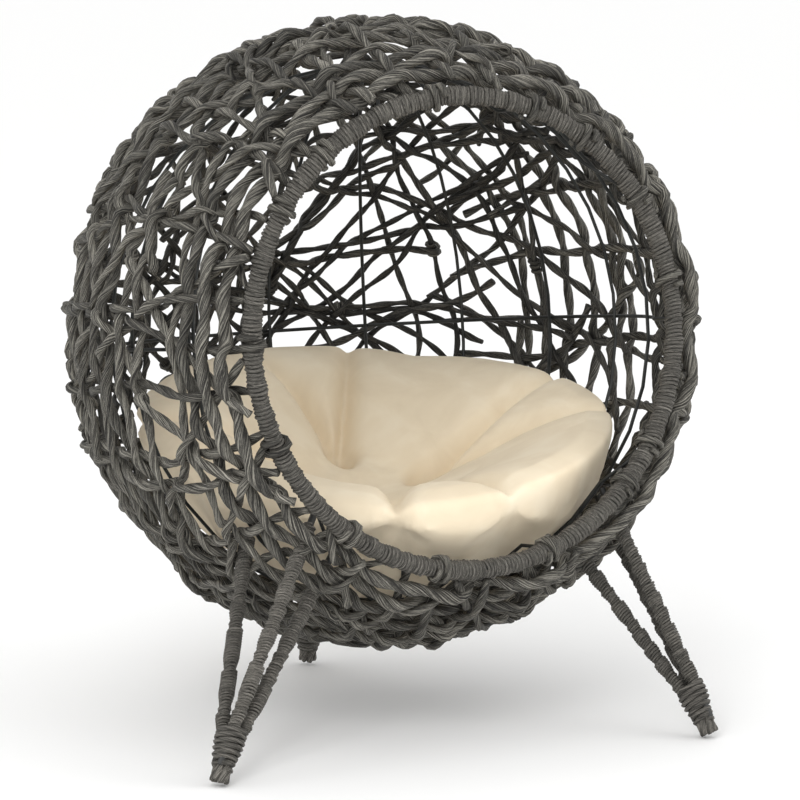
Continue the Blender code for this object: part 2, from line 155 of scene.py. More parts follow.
def mesh_from_arrays(name, points, loops, sizes):
    """A mesh from its points, its faces' corners in one row, and each face's number of corners."""
    mesh = bpy.data.meshes.new(name)
    mesh.vertices.add(len(points))
    mesh.vertices.foreach_set("co", points.ravel())
    mesh.loops.add(len(loops))
    mesh.loops.foreach_set("vertex_index", loops.astype(np.int32))
    mesh.polygons.add(len(sizes))
    starts = np.concatenate([[0], np.cumsum(sizes)[:-1]]).astype(np.int32)
    mesh.polygons.foreach_set("loop_start", starts)
    mesh.update(calc_edges=True)
    mesh.validate()
    mesh.shade_smooth()
    return mesh


def placed(name, mesh, finish):
    """Put a mesh in the scene with its material."""
    piece = bpy.data.objects.new(name, mesh)
    bpy.context.scene.collection.objects.link(piece)
    mesh.materials.append(finish)
    print(name, len(mesh.vertices), "points")
    return piece


# %% [markdown]
# ## The finish of paper cord
# Paper cord is grey-brown and matt, with pale fibres that run along it. A noise texture read from
# the stored place is stretched along the cord, so it draws fibres and not spots. The same noise
# lifts the surface a little, and each cord has a slightly different tone, as dyed paper has.

# %% Cord material
FIBRE_AROUND = 6.0
FIBRE_ALONG = 24.0
DARKEST_TONE, PALEST_TONE = 0.62, 1.32  # of one cord against the middle colour


def node(tree, kind, **inputs):
    """A shader node with some of its inputs set."""
    made = tree.nodes.new(kind)
    for name, value in inputs.items():
        made.inputs[name.replace("_", " ")].default_value = value
    return made


def ramp(tree, factor, stops):
    """A colour ramp from (position, colour) stops."""
    made = tree.nodes.new("ShaderNodeValToRGB")
    band = made.color_ramp
    while len(band.elements) < len(stops):
        band.elements.new(0.5)
    for element, (position, colour) in zip(band.elements, stops):
        element.position = position
        element.color = (*colour, 1)
    tree.links.new(factor, made.inputs["Fac"])
    return made.outputs["Color"]


def cord_finish(name, dark, middle, pale, fibre_depth=0.0006):
    """Twisted paper cord: fibres, tone and a dry surface."""
    finish = bpy.data.materials.new(name)
    finish.use_nodes = True
    tree = finish.node_tree
    shader = tree.nodes["Principled BSDF"]
    shader.inputs["Specular IOR Level"].default_value = 0.35
    place = tree.nodes.new("ShaderNodeAttribute")
    place.attribute_name = "cord_place"
    stretch = tree.nodes.new("ShaderNodeMapping")
    stretch.inputs["Scale"].default_value = (FIBRE_AROUND, FIBRE_AROUND, FIBRE_ALONG)
    tree.links.new(place.outputs["Vector"], stretch.inputs["Vector"])
    fibre = node(tree, "ShaderNodeTexNoise", Scale=1.0, Detail=5.0, Roughness=0.7)
    tree.links.new(stretch.outputs["Vector"], fibre.inputs["Vector"])
    colour = ramp(tree, fibre.outputs["Fac"], [(0.41, dark), (0.50, middle), (0.62, pale)])
    tone = tree.nodes.new("ShaderNodeAttribute")
    tone.attribute_name = "cord_tone"
    shade = node(tree, "ShaderNodeMapRange")
    shade.inputs["To Min"].default_value = DARKEST_TONE
    shade.inputs["To Max"].default_value = PALEST_TONE
    tree.links.new(tone.outputs["Fac"], shade.inputs["Value"])
    tinted = tree.nodes.new("ShaderNodeVectorMath")
    tinted.operation = "SCALE"
    tree.links.new(colour, tinted.inputs[0])
    tree.links.new(shade.outputs["Result"], tinted.inputs["Scale"])
    tree.links.new(tinted.outputs["Vector"], shader.inputs["Base Color"])
    dryness = node(tree, "ShaderNodeMapRange")
    dryness.inputs["To Min"].default_value = 0.85
    dryness.inputs["To Max"].default_value = 0.55
    tree.links.new(fibre.outputs["Fac"], dryness.inputs["Value"])
    tree.links.new(dryness.outputs["Result"], shader.inputs["Roughness"])
    bump = node(tree, "ShaderNodeBump", Strength=0.7, Distance=fibre_depth)
    tree.links.new(fibre.outputs["Fac"], bump.inputs["Height"])
    tree.links.new(bump.outputs["Normal"], shader.inputs["Normal"])
    return finish


# The fibres' dark, middle and pale colours. The back wall's are darker: painted shade for the dim inside
# of the ball, seen against the light, which is a choice made for the look.
WEAVE_COLOURS = ((0.008, 0.007, 0.006), (0.050, 0.047, 0.040), (0.29, 0.275, 0.235))
INSIDE_SHADE_COLOURS = ((0.006, 0.006, 0.005), (0.033, 0.031, 0.027), (0.13, 0.122, 0.105))
WINDING_COLOURS = ((0.013, 0.012, 0.010), (0.080, 0.075, 0.065), (0.31, 0.29, 0.255))
weave_finish = cord_finish("weave_paper_cord", *WEAVE_COLOURS)
inside_shade_finish = cord_finish("inner_paper_cord_painted_shade", *INSIDE_SHADE_COLOURS)
winding_finish = cord_finish("winding_paper_cord", *WINDING_COLOURS)
print("cord finishes", weave_finish.name, inside_shade_finish.name, winding_finish.name)

# %% [markdown]
# ## Routes of the cords
# A real weave could be copied cord by cord, but most of it is hidden, so the cords are laid in
# seeded families instead. Thick ropes run round beside the doorway, ring ropes follow them further
# back, radial ropes run from the doorway toward the back, and slanting ropes cross both. The back
# wall is filled with cords that run any way. Each route wanders a little, because hand weaving is
# never even.

# %% Follow a route over the ball
CORD_STEP = 0.004
COARSE = 90  # points in a route before it is evened out
DRIFT_WAVES = (1, 2, 3, 5)  # waves along a cord that add up to its wandering
DRIFT_SCALE = 1.6  # the drift stays within 1.3 times the amount asked for
WAVE_HEIGHT = 0.0045
WAVE_LENGTHS = (0.05, 0.08)
START_MARGIN = math.radians(1.5)  # crossing ropes start this far from the doorway
TUCK_DEPTH = 0.009  # the cut ends are tucked in behind the weave
TUCK_LENGTH = 0.012
THINNING_START = math.radians(95)  # ropes are made thinner from here to the back, for the look
THINNING_SPAN = math.radians(35)
THINNING = 0.18


def wander(amount, count=COARSE):
    """A smooth random drift along a route."""
    share = np.linspace(0, 1, count)
    drift = np.zeros(count)
    for waves in DRIFT_WAVES:
        drift += np.sin(2 * math.pi * (waves * share + dice.uniform())) * dice.uniform(0.3, 1) / waves
    return drift * amount / DRIFT_SCALE


def route(opening, clock, radius, level, wave):
    """A cord's route: evenly spaced directions, its radius, and its first height in the weave."""
    rough = ball_direction(opening, clock)
    gaps = np.linalg.norm(np.diff(rough, axis=0), axis=1) * ball_radius
    along = np.concatenate([[0.0], np.cumsum(gaps)])
    even = np.linspace(0, along[-1], max(6, int(along[-1] / CORD_STEP)))
    directions = unit(np.stack([np.interp(even, along, rough[:, axis]) for axis in range(3)], -1))
    height = level + WAVE_HEIGHT * np.sin(2 * math.pi * (even / wave + dice.uniform()))
    from_end = np.minimum(even, even[-1] - even)
    height -= TUCK_DEPTH * np.exp(-from_end / TUCK_LENGTH)
    behind = np.arccos(np.clip(directions @ toward_doorway, -1, 1)) - THINNING_START
    thinning = 1 - THINNING * np.clip(behind / THINNING_SPAN, 0, 1)
    return {"directions": directions, "radius": radius * thinning, "height": height}


def ring_route(opening, radius, level, drift, start=0.0, turn=2 * math.pi):
    """A cord that runs round the ball beside the doorway, as far as turn."""
    clock = start + np.linspace(0, turn, COARSE)
    return route(opening + wander(drift), clock, radius, level, dice.uniform(*WAVE_LENGTHS))


def crossing_route(clock, slant, last, radius, level, drift):
    """A cord that leaves the doorway and runs back over the ball, straight or slanting."""
    opening = np.linspace(doorway_angle + START_MARGIN, last, COARSE)
    turned = clock + slant * (opening - opening[0]) + wander(drift)
    return route(opening, turned, radius, level, dice.uniform(*WAVE_LENGTHS))


# %% Ropes round the doorway and the ball
OUTER_LEVEL = ball_radius - 0.010
RIM_ROPES = ((4.6, 0.0060), (8.6, 0.0056), (12.6, 0.0050))  # degrees from the doorway, radius
RIM_DRIFT = math.radians(0.7)
rim_routes = []
for degrees, radius in RIM_ROPES:
    opening = doorway_angle + math.radians(degrees)
    rim_routes.append(ring_route(opening, radius, OUTER_LEVEL, RIM_DRIFT))
RING_DEGREES = np.arange(67, 128, 6.5)
RING_SCATTER = 1.5  # degrees
RING_TURNS = (0.9, 1.25)  # as a share of half the way round
RING_RADII = (0.0036, 0.0048)
RING_DRIFT = math.radians(2.4)
ring_routes = []
for degrees in RING_DEGREES:
    for start in (0.0, math.pi):
        begin = start + dice.uniform(0, 1)
        turn = dice.uniform(*RING_TURNS) * math.pi
        radius = dice.uniform(*RING_RADII)
        opening = math.radians(degrees + dice.uniform(-RING_SCATTER, RING_SCATTER))
        ring_routes.append(ring_route(opening, radius, OUTER_LEVEL, RING_DRIFT, begin, turn))
print("routes round the ball", len(rim_routes), len(ring_routes))

# %% Ropes that cross them
UNEVEN = 0.3  # how far a rope may be out of its place, as a share of the spacing
CROSSING_ENDS = (118, 150)  # degrees from the doorway's middle
RADIAL_ROPES = 36
RADIAL_RADII = (0.0034, 0.0046)
RADIAL_SLANT = 0.15
RADIAL_DRIFT = 0.06
crossing_routes = []
for number in range(RADIAL_ROPES):
    clock = 2 * math.pi * (number + dice.uniform(-UNEVEN, UNEVEN)) / RADIAL_ROPES
    last = math.radians(dice.uniform(*CROSSING_ENDS))
    radius = dice.uniform(*RADIAL_RADII)
    slant = dice.uniform(-RADIAL_SLANT, RADIAL_SLANT)
    crossing_routes.append(crossing_route(clock, slant, last, radius, OUTER_LEVEL, RADIAL_DRIFT))
SLANTING_ROPES = 28
SLANTING_RADII = (0.0032, 0.0044)
SLANTS = (0.6, 1.7)  # turn round the doorway for each radian away from it
SLANTING_DRIFT = 0.07
for number in range(SLANTING_ROPES):
    clock = 2 * math.pi * (number + dice.uniform(-UNEVEN, UNEVEN)) / SLANTING_ROPES
    slant = (1 if number % 2 else -1) * dice.uniform(*SLANTS)
    last = math.radians(dice.uniform(*CROSSING_ENDS))
    radius = dice.uniform(*SLANTING_RADII)
    crossing_routes.append(crossing_route(clock, slant, last, radius, OUTER_LEVEL, SLANTING_DRIFT))
print("crossing routes", len(crossing_routes))

# %% Ropes that fill the underside
UNDERSIDE_ROPES = 14
UNDERSIDE_DEGREES = (64, 118)
UNDERSIDE_STARTS = (-1.1, -0.5)
UNDERSIDE_TURNS = (0.9, 1.8)
UNDERSIDE_RADIUS = 0.0042
UNDERSIDE_DRIFT = math.radians(4)
for number in range(UNDERSIDE_ROPES):
    opening = math.radians(dice.uniform(*UNDERSIDE_DEGREES))
    begin = dice.uniform(*UNDERSIDE_STARTS)
    turn = dice.uniform(*UNDERSIDE_TURNS)
    ring_routes.append(ring_route(opening, UNDERSIDE_RADIUS, OUTER_LEVEL, UNDERSIDE_DRIFT, begin, turn))
print("routes round the ball with the underside's", len(ring_routes))

# %% Cords of the back wall
BACK_LEVEL = ball_radius - 0.020
DOORWAY_EDGE = math.cos(doorway_angle + math.radians(6))


def clear_of_doorway(arc):
    """The stretch of an arc round its middle that stays clear of the doorway."""
    blocked = np.nonzero(arc @ toward_doorway > DOORWAY_EDGE)[0]
    first = max([0, *(blocked[blocked < len(arc) // 2] + 1)])
    last = min([len(arc), *blocked[blocked >= len(arc) // 2]])
    return arc[first:last]


BACK_CORDS = 42
BACK_DEGREES = (122, 178)  # where a cord's middle lies, from the doorway's middle
BACK_SWEEPS = (0.95, 1.35)  # half a cord's length, in radians
BACK_DRIFT = 0.11
BACK_RADII = (0.0032, 0.0044)
BACK_WAVES = (0.05, 0.09)
back_routes = []
for number in range(BACK_CORDS):
    middle = ball_direction(math.radians(dice.uniform(*BACK_DEGREES)), dice.uniform(0, 2 * math.pi))
    heading = unit(np.cross(middle, dice.normal(size=3)))
    sweep = np.linspace(-1, 1, COARSE) * dice.uniform(*BACK_SWEEPS)
    side = np.cross(middle, heading)
    arc = np.cos(sweep)[:, None] * middle + np.sin(sweep)[:, None] * heading
    arc = arc + wander(BACK_DRIFT)[:, None] * side
    arc = clear_of_doorway(unit(arc))
    opening = np.arccos(np.clip(arc @ toward_doorway, -1, 1))
    clock = np.unwrap(np.arctan2(arc @ toward_right, -(arc @ toward_crown)))
    radius = dice.uniform(*BACK_RADII)
    back_routes.append(route(opening, clock, radius, BACK_LEVEL, dice.uniform(*BACK_WAVES)))
print("back routes", len(back_routes))

# %% [markdown]
# ## Over and under
# Two cords that cross can't share a place, so one goes over the other. Every cord starts with a
# gentle wave, which decides who is on top at each crossing. Then the cords are pushed apart where
# they would cut through each other and smoothed along their length, a few dozen times, the way
# real cords settle against each other. Only their height moves, so the pattern stays.

# %% Settle the cords
SETTLE_ROUNDS = 40
WEAVE_DEPTH = 0.033
PROUD = 0.004  # how far a cord may stand out of the ball
PRESSED = 0.001  # cords that overlap by more than this are counted


def settle(routes):
    """Push crossing cords apart until each lies over or under its neighbours."""
    directions = np.vstack([cord["directions"] for cord in routes])
    radius = np.concatenate([cord["radius"] for cord in routes])
    owner = np.concatenate([np.full(len(cord["height"]), i) for i, cord in enumerate(routes)])
    height = np.concatenate([cord["height"] for cord in routes])
    tree = KDTree(len(directions))
    for number, direction in enumerate(directions):
        tree.insert(direction * ball_radius, number)
    tree.balance()
    reach = 2 * radius.max()
    pairs = []
    for number, direction in enumerate(directions):
        for _, other, gap in tree.find_range(direction * ball_radius, reach):
            if other > number and owner[other] != owner[number]:
                pairs.append((number, other, gap))
    pairs = np.array(pairs)
    low, high, gap = pairs[:, 0].astype(int), pairs[:, 1].astype(int), pairs[:, 2]
    need = np.sqrt(np.clip((radius[low] + radius[high]) ** 2 - gap**2, 0, None))
    same_before = np.concatenate([[False], owner[1:] == owner[:-1]])
    same_after = np.concatenate([owner[1:] == owner[:-1], [False]])
    for number in range(SETTLE_ROUNDS):
        apart = height[high] - height[low]
        lack = np.clip(need - np.abs(apart), 0, None) * np.where(apart >= 0, 1, -1)
        push = np.zeros(len(height))
        touched = np.zeros(len(height))
        np.add.at(push, high, lack / 2)
        np.add.at(push, low, -lack / 2)
        np.add.at(touched, high, lack != 0)
        np.add.at(touched, low, lack != 0)
        height += push / np.maximum(touched, 1)
        if number != SETTLE_ROUNDS - 2:  # the last round but one isn't smoothed
            before = np.where(same_before, np.roll(height, 1), height)
            after = np.where(same_after, np.roll(height, -1), height)
            height = 0.5 * height + 0.25 * (before + after)
        height = np.clip(height, ball_radius - WEAVE_DEPTH + radius, ball_radius + PROUD - radius)
    lack = np.clip(need - np.abs(height[high] - height[low]), 0, None)
    print("close points still overlapping, per cent", round(float((lack > PRESSED).mean()) * 100, 1))
    start = 0
    for cord in routes:
        count = len(cord["height"])
        cord["height"] = height[start : start + count]
        start += count


settle(rim_routes + ring_routes + crossing_routes + back_routes)


def cords_of(routes):
    """Routes as (path, outward, radius) for the cord builder."""
    return [
        (ball_centre + cord["directions"] * cord["height"][:, None], cord["directions"], cord["radius"])
        for cord in routes
    ]


rim_ropes = cord_piece("rim_ropes", cords_of(rim_routes), weave_finish)
ring_ropes = cord_piece("ring_ropes", cords_of(ring_routes), weave_finish)
crossing_ropes = cord_piece("crossing_ropes", cords_of(crossing_routes), weave_finish)
# The back wall's cords take the darker copy of the cord finish: painted shade.
back_cords = cord_piece("back_wall_cords", cords_of(back_routes), inside_shade_finish, sides=8)
for piece in (rim_ropes, ring_ropes, crossing_ropes, back_cords):
    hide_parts("wicker_weave")

# %% [markdown]
# ## Windings
# The doorway's hoop and every strut are wound with finer cord. A winding is a helix round a track.
# Hand winding is lumpy: it is done in short runs, and each run climbs a little over the last. A
# slow saw-tooth on the helix's radius gives those steps, and seeded noise keeps them uneven.

# %% Wind cord round a track
TURN_POINTS = 10
RUN_LENGTH = 0.009  # one run of winding
TURN_LEAN = 0.0026  # how far a turn may slant along the track
LEAST_LEAN = 0.3  # as a share of that


def wind(track, core, cord, pitch, lump):
    """A helix of cord round a track. core is the radius under the cord, one value or one a point."""
    steps = np.linalg.norm(np.diff(track, axis=0), axis=1)
    along = np.concatenate([[0.0], np.cumsum(steps)])
    samples = max(TURN_POINTS, int(along[-1] / pitch * TURN_POINTS))
    even = np.linspace(0, along[-1], samples)
    middle = np.stack([np.interp(even, along, track[:, axis]) for axis in range(3)], -1)
    tangent = unit(np.gradient(middle, axis=0))
    guide = toward_doorway if abs(tangent[0] @ toward_doorway) < 0.9 else toward_crown
    first = unit(guide - (tangent @ guide)[:, None] * tangent)
    second = np.cross(tangent, first)
    turn = 2 * math.pi * even / pitch
    outward = np.cos(turn)[:, None] * first + np.sin(turn)[:, None] * second
    base = np.interp(even, along, np.broadcast_to(core, along.shape))
    runs = max(1, int(along[-1] / RUN_LENGTH))
    run_edges = np.sort(dice.uniform(0, along[-1], runs))
    run_start = np.concatenate([[0.0], run_edges])[np.searchsorted(run_edges, even)]
    leans = dice.uniform(LEAST_LEAN, 1.0, runs + 2) * TURN_LEAN
    lean = np.interp(even, np.linspace(0, along[-1], runs + 2), leans)
    middle = middle + tangent * (lean * np.cos(turn))[:, None]
    climb = np.clip((even - run_start) / RUN_LENGTH, 0, 1)
    reach = base + cord + lump * climb
    return middle + outward * reach[:, None], outward, cord


# %% Wind the doorway
HOOP_STEPS = 360
doorway_clock = np.linspace(0, 2 * math.pi, HOOP_STEPS + 1)
hoop_track = hoop_centre + doorway_radius * (
    -np.cos(doorway_clock)[:, None] * toward_crown + np.sin(doorway_clock)[:, None] * toward_right
)
HOOP_CORE = 0.0036
HOOP_CORD = 0.0017
HOOP_PITCH = 0.0030
HOOP_LUMP = 0.0014
FINE_SIDES = 6
FINE_GROOVE = 0.08
doorway_winding = cord_piece(
    "doorway_winding",
    [wind(hoop_track, HOOP_CORE, HOOP_CORD, HOOP_PITCH, HOOP_LUMP)],
    winding_finish,
    sides=FINE_SIDES,
    groove=FINE_GROOVE,
)
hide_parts("doorway_wrap")


def tube_ends(name):
    """The middles of a straight tube's two ends, lower one first."""
    mesh = frame["nodes"][name].data
    points = np.empty(len(mesh.vertices) * 3)
    mesh.vertices.foreach_get("co", points)
    points = points.reshape(-1, 3)
    middle = (points[:, 2].min() + points[:, 2].max()) / 2
    return points[points[:, 2] < middle].mean(0), points[points[:, 2] > middle].mean(0)


# %% Wind the legs
LEGS = ("left", "right", "back")
STRUTS = ("inner", "outer", "lower")
STRUT_CORE = 0.0022
STRUT_CORD = 0.0013
STRUT_PITCH = 0.0023
STRUT_LUMP = 0.0019
STRUT_STEPS = 60
for leg in LEGS:
    windings = []
    for strut in STRUTS:
        low, high = tube_ends(f"leg_{leg}_{strut}_wrap")
        track = np.linspace(low, high, STRUT_STEPS)
        windings.append(wind(track, STRUT_CORE, STRUT_CORD, STRUT_PITCH, STRUT_LUMP))
    winding = cord_piece(f"leg_{leg}_winding", windings, winding_finish, sides=FINE_SIDES, groove=FINE_GROOVE)
    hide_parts(*[f"leg_{leg}_{strut}_wrap" for strut in STRUTS])

# %% [markdown]
# ## Bound feet
# The three rods of a leg come together at the foot. A few turns of thicker cord bind them, and the
# cut ends of the cords hang below as a blunt tuft, which is what the basket stands on. The binding
# is a short tapered helix, and the tuft is a bundle of short cords with a little twist.

# %% Bind the feet
BINDING_CORD = 0.0026
BINDING_PITCH = 0.0043
BINDING_LUMP = 0.0007
BINDING_START = 0.014  # above the foot's end
BINDING_OVERLAP = 0.002  # past the place where the struts' windings end
BINDING_CORES = (0.0038, 0.0082)  # the radius under the turns, at the foot and at the struts
BINDING_STEPS = 40
TUFT_CORD = 0.0031
TUFT_CORDS = 7
TUFT_RADIUS = 0.0050
TUFT_LENGTH = 0.020
TUFT_STEPS = 12
TUFT_LOWEST = 0.0035
TUFT_UNEVEN = 0.0015
TUFT_TWIST = 30  # radians for each metre of length
TUFT_FLARE, TUFT_NARROWING = 1.15, 14
BOUND_SIDES = 8
for leg in LEGS:
    tuft_low, tuft_high = corners(f"leg_{leg}_foot_tuft")
    foot = np.array([(tuft_low[0] + tuft_high[0]) / 2, (tuft_low[1] + tuft_high[1]) / 2, 0.0])
    meeting = np.mean([tube_ends(f"leg_{leg}_{strut}_wrap")[0] for strut in STRUTS], axis=0)
    axis = unit(meeting - foot)
    length = np.linalg.norm(meeting - foot)
    track = foot + axis * np.linspace(BINDING_START, length + BINDING_OVERLAP, BINDING_STEPS)[:, None]
    core = np.linspace(*BINDING_CORES, BINDING_STEPS)
    turns = wind(track, core, BINDING_CORD, BINDING_PITCH, BINDING_LUMP)
    binding = cord_piece(f"leg_{leg}_binding", [turns], winding_finish, sides=BOUND_SIDES)
    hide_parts(f"leg_{leg}_foot_binding")
    side = unit(np.cross(axis, toward_doorway))
    other = np.cross(axis, side)
    ends = []
    for number in range(TUFT_CORDS + 1):
        clock = 2 * math.pi * number / TUFT_CORDS
        out = 0.0 if number == TUFT_CORDS else TUFT_RADIUS
        rise = np.linspace(TUFT_LENGTH, 0.0, TUFT_STEPS)
        swing = clock + rise * TUFT_TWIST
        spread = out * (TUFT_FLARE - rise * TUFT_NARROWING)
        offset = np.cos(swing)[:, None] * side + np.sin(swing)[:, None] * other
        above = rise + TUFT_LOWEST + dice.uniform(0, TUFT_UNEVEN)
        path = foot + axis * above[:, None] + offset * spread[:, None]
        path[:, 2] = np.maximum(path[:, 2], TUFT_CORD * 0.6)
        taper = np.full(TUFT_STEPS, TUFT_CORD)
        taper[-1] *= 0.7
        ends.append((path, offset if out else np.broadcast_to(side, path.shape), taper))
    tuft = cord_piece(f"leg_{leg}_tuft", ends, winding_finish, sides=BOUND_SIDES)
    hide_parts(f"leg_{leg}_foot_tuft")

# %% [markdown]
# ## Ties
# Ropes are tied to the wound hoop, and here and there inside the basket a cord is knotted round
# another. Real knots could be followed turn by turn, but at this size a short winding looks the
# same, so the same helix makes both. The ties' places are seeded.

# %% Tie the cords
TIES_ON_DOORWAY = 14
TIE_PLACES = (0.1, 0.9)  # where a tie may lie in its share of the hoop
TIE_STEPS = 5  # points of the hoop's track under one tie
LAST_TIE = HOOP_STEPS - 8  # so that a tie doesn't run past the track's end
TIE_CORE = 0.0066
TIE_CORD = 0.0030
TIE_PITCH = 0.0075
ties = []
for number in range(TIES_ON_DOORWAY):
    start = int(HOOP_STEPS * (number + dice.uniform(*TIE_PLACES)) / TIES_ON_DOORWAY) % LAST_TIE
    ties.append(wind(hoop_track[start : start + TIE_STEPS], TIE_CORE, TIE_CORD, TIE_PITCH, 0.0))
KNOT_EVERY = 4  # one back cord in this many has a knot
KNOT_PLACES = (0.25, 0.7)  # along the cord
KNOT_STEPS = 4
KNOT_CORD = 0.0020
KNOT_PITCH = 0.0045
for cord in back_routes[::KNOT_EVERY]:
    place = int(len(cord["height"]) * dice.uniform(*KNOT_PLACES))
    part = slice(place, place + KNOT_STEPS)
    track = ball_centre + cord["directions"][part] * cord["height"][part, None]
    ties.append(wind(track, cord["radius"][part], KNOT_CORD, KNOT_PITCH, 0.0))
tie_cords = cord_piece("tie_cords", ties, weave_finish, sides=BOUND_SIDES)

# %% [markdown]
# ## The cushion
# The cushion is round and stuffed: a dished middle held down by four tufts, and a fat roll round
# it, drawn in by a pair of creases from each tuft. Not all of the tufts can be seen, so their number
# is a guess. The shape is first laid out as a closed form with its tufts and creases pressed in.
# Cloth simulation then inflates it while the tufts and creases are held, so the velvet swells
# between them as stuffing makes it do.

# %% Measure the cushion's place
cushion_mesh = frame["nodes"]["cushion"].data
cushion_points = np.empty(len(cushion_mesh.vertices) * 3)
cushion_mesh.vertices.foreach_get("co", cushion_points)
cushion_points = cushion_points.reshape(-1, 3) - ball_centre
cushion_axis = -unit(cushion_points.mean(0))
cushion_back = unit(np.cross(cushion_axis, toward_right))
heights = cushion_points @ cushion_axis
reaches = np.linalg.norm(cushion_points - heights[:, None] * cushion_axis, axis=1)
bowl_radius = np.linalg.norm(cushion_points, axis=1).max()
roll_top = heights.max()
FULLER_EDGE = 0.016  # the soft roll stands this much higher at its edge than the plain solid
edge_height = heights[reaches.argmax()] + FULLER_EDGE
edge_reach = math.sqrt(bowl_radius**2 - edge_height**2)
dish_height = heights[reaches < 0.02].max()
roll_reach = reaches[heights.argmax()]
print("cushion edge", round(edge_reach, 4), "roll top", round(roll_top, 4), "dish", round(dish_height, 4))

# %% Lay out the cushion's form
TUFT_COUNT = 4
TUFT_REACH = 0.056
TUFT_START = math.radians(85)
CREASE_SPREAD = math.radians(15)
SHRINK = 0.006  # the form starts this much inside, because it swells
CREASE_WIDTH = 0.011
TUFT_WIDTH = 0.012
CREASE_DEPTH = 0.017
TUFT_DEPTH = 0.020
AROUND = 160
TOP_POINTS, LIP_POINTS, UNDER_POINTS = 26, 12, 24
FORM_HEIGHT = 0.94  # the form's height before it swells, as a share of the cushion's
CREASE_FADE = 0.55  # how much shallower a crease is at the edge


def held_amount(reach, angle, tuft_width=TUFT_WIDTH, crease_width=CREASE_WIDTH):
    """How far the cover is held down, from 0 to 1, by tufts and by creases."""
    x, y = reach * np.sin(angle), -reach * np.cos(angle)
    tuft = np.zeros_like(x)
    crease = np.zeros_like(x)
    for number in range(TUFT_COUNT):
        direction = TUFT_START + number * 2 * math.pi / TUFT_COUNT
        tx, ty = TUFT_REACH * math.sin(direction), -TUFT_REACH * math.cos(direction)
        tuft = np.maximum(tuft, np.exp(-((x - tx) ** 2 + (y - ty) ** 2) / tuft_width**2))
        for side in (-1, 1):
            end = direction + side * CREASE_SPREAD
            ex, ey = edge_reach * math.sin(end), -edge_reach * math.cos(end)
            run = np.array([ex - tx, ey - ty])
            share = np.clip(((x - tx) * run[0] + (y - ty) * run[1]) / (run @ run), 0, 1)
            gap = np.hypot(x - tx - share * run[0], y - ty - share * run[1])
            fade = 1 - CREASE_FADE * share
            crease = np.maximum(crease, np.exp(-((gap / crease_width) ** 2)) * fade)
    return tuft, crease


def cushion_profile():
    """Reach and height of the form's outline, from the middle of the top round to the bottom."""
    share = np.linspace(0, 1, TOP_POINTS)
    rise = (roll_top - dish_height) * (1 - np.cos(np.pi * share)) / 2
    top = np.stack([roll_reach * share, dish_height + rise], -1)
    turn = np.linspace(0, math.pi / 2, LIP_POINTS)[1:]
    lip_reach = roll_reach + (edge_reach - roll_reach) * np.sin(turn)
    lip_height = edge_height + (roll_top - edge_height) * np.cos(turn)
    lip = np.stack([lip_reach, lip_height], -1)
    spread = math.atan2(edge_reach, -edge_height) * np.linspace(1, 0, UNDER_POINTS)[1:]
    under = bowl_radius * np.stack([np.sin(spread), -np.cos(spread)], -1)
    return np.vstack([top, lip, under]), len(top) + len(lip)


def cushion_form():
    """The closed form with its tufts and creases pressed in."""
    profile, top_count = cushion_profile()
    angle = 2 * math.pi * np.arange(AROUND) / AROUND
    rings = profile[1:-1]
    reach = np.repeat(rings[:, :1], AROUND, 1)
    height = np.repeat(rings[:, 1:], AROUND, 1)
    tuft, crease = held_amount(reach, angle[None, :])
    upper = (np.arange(len(rings)) < top_count)[:, None]
    inward = np.clip((reach - roll_reach) / (edge_reach - roll_reach), 0, 1)
    pressed = np.where(upper, tuft * TUFT_DEPTH + crease * CREASE_DEPTH, 0)
    height = height - pressed * (1 - inward)
    reach = reach - pressed * inward
    middle = (profile[0, 1] + profile[-1, 1]) / 2
    size = 1 - SHRINK / edge_reach
    reach = reach * size
    height = middle + (height - middle) * FORM_HEIGHT
    body = np.stack([reach * np.sin(angle), -reach * np.cos(angle), height], -1).reshape(-1, 3)
    tip_top = [0, 0, middle + (profile[0, 1] - middle) * FORM_HEIGHT]
    tip_low = [0, 0, middle + (profile[-1, 1] - middle) * FORM_HEIGHT]
    local = np.vstack([tip_top, body, tip_low])
    count = len(rings)
    number = 1 + np.arange(count * AROUND).reshape(count, AROUND)
    beside = np.roll(number, -1, axis=1)
    quads = np.stack([number[:-1], number[1:], beside[1:], beside[:-1]], -1).reshape(-1, 4)
    cap_top = np.stack([np.zeros(AROUND, int), number[0], beside[0]], -1)
    cap_low = np.stack([np.full(AROUND, len(local) - 1), beside[-1], number[-1]], -1)
    loops = np.concatenate([quads.ravel(), cap_top.ravel(), cap_low.ravel()])
    sizes = np.concatenate([np.full(len(quads), 4), np.full(2 * AROUND, 3)])
    across = local[:, :1] * toward_right + local[:, 1:2] * cushion_back
    world = ball_centre + across + local[:, 2:] * cushion_axis
    return mesh_from_arrays("tufted_cushion", world, loops, sizes)


# %% [markdown]
# ## The cushion's velvet
# Short velvet looks paler where its pile leans toward the light. A sheen on the shader gives the
# soft bright edge, and two noises, one broad and one fine, give the brushed patches and the pile.

# %% Velvet material
VELVET_DARK = (0.785, 0.668, 0.492)
VELVET_MIDDLE = (0.82, 0.705, 0.525)
VELVET_PALE = (0.855, 0.748, 0.572)


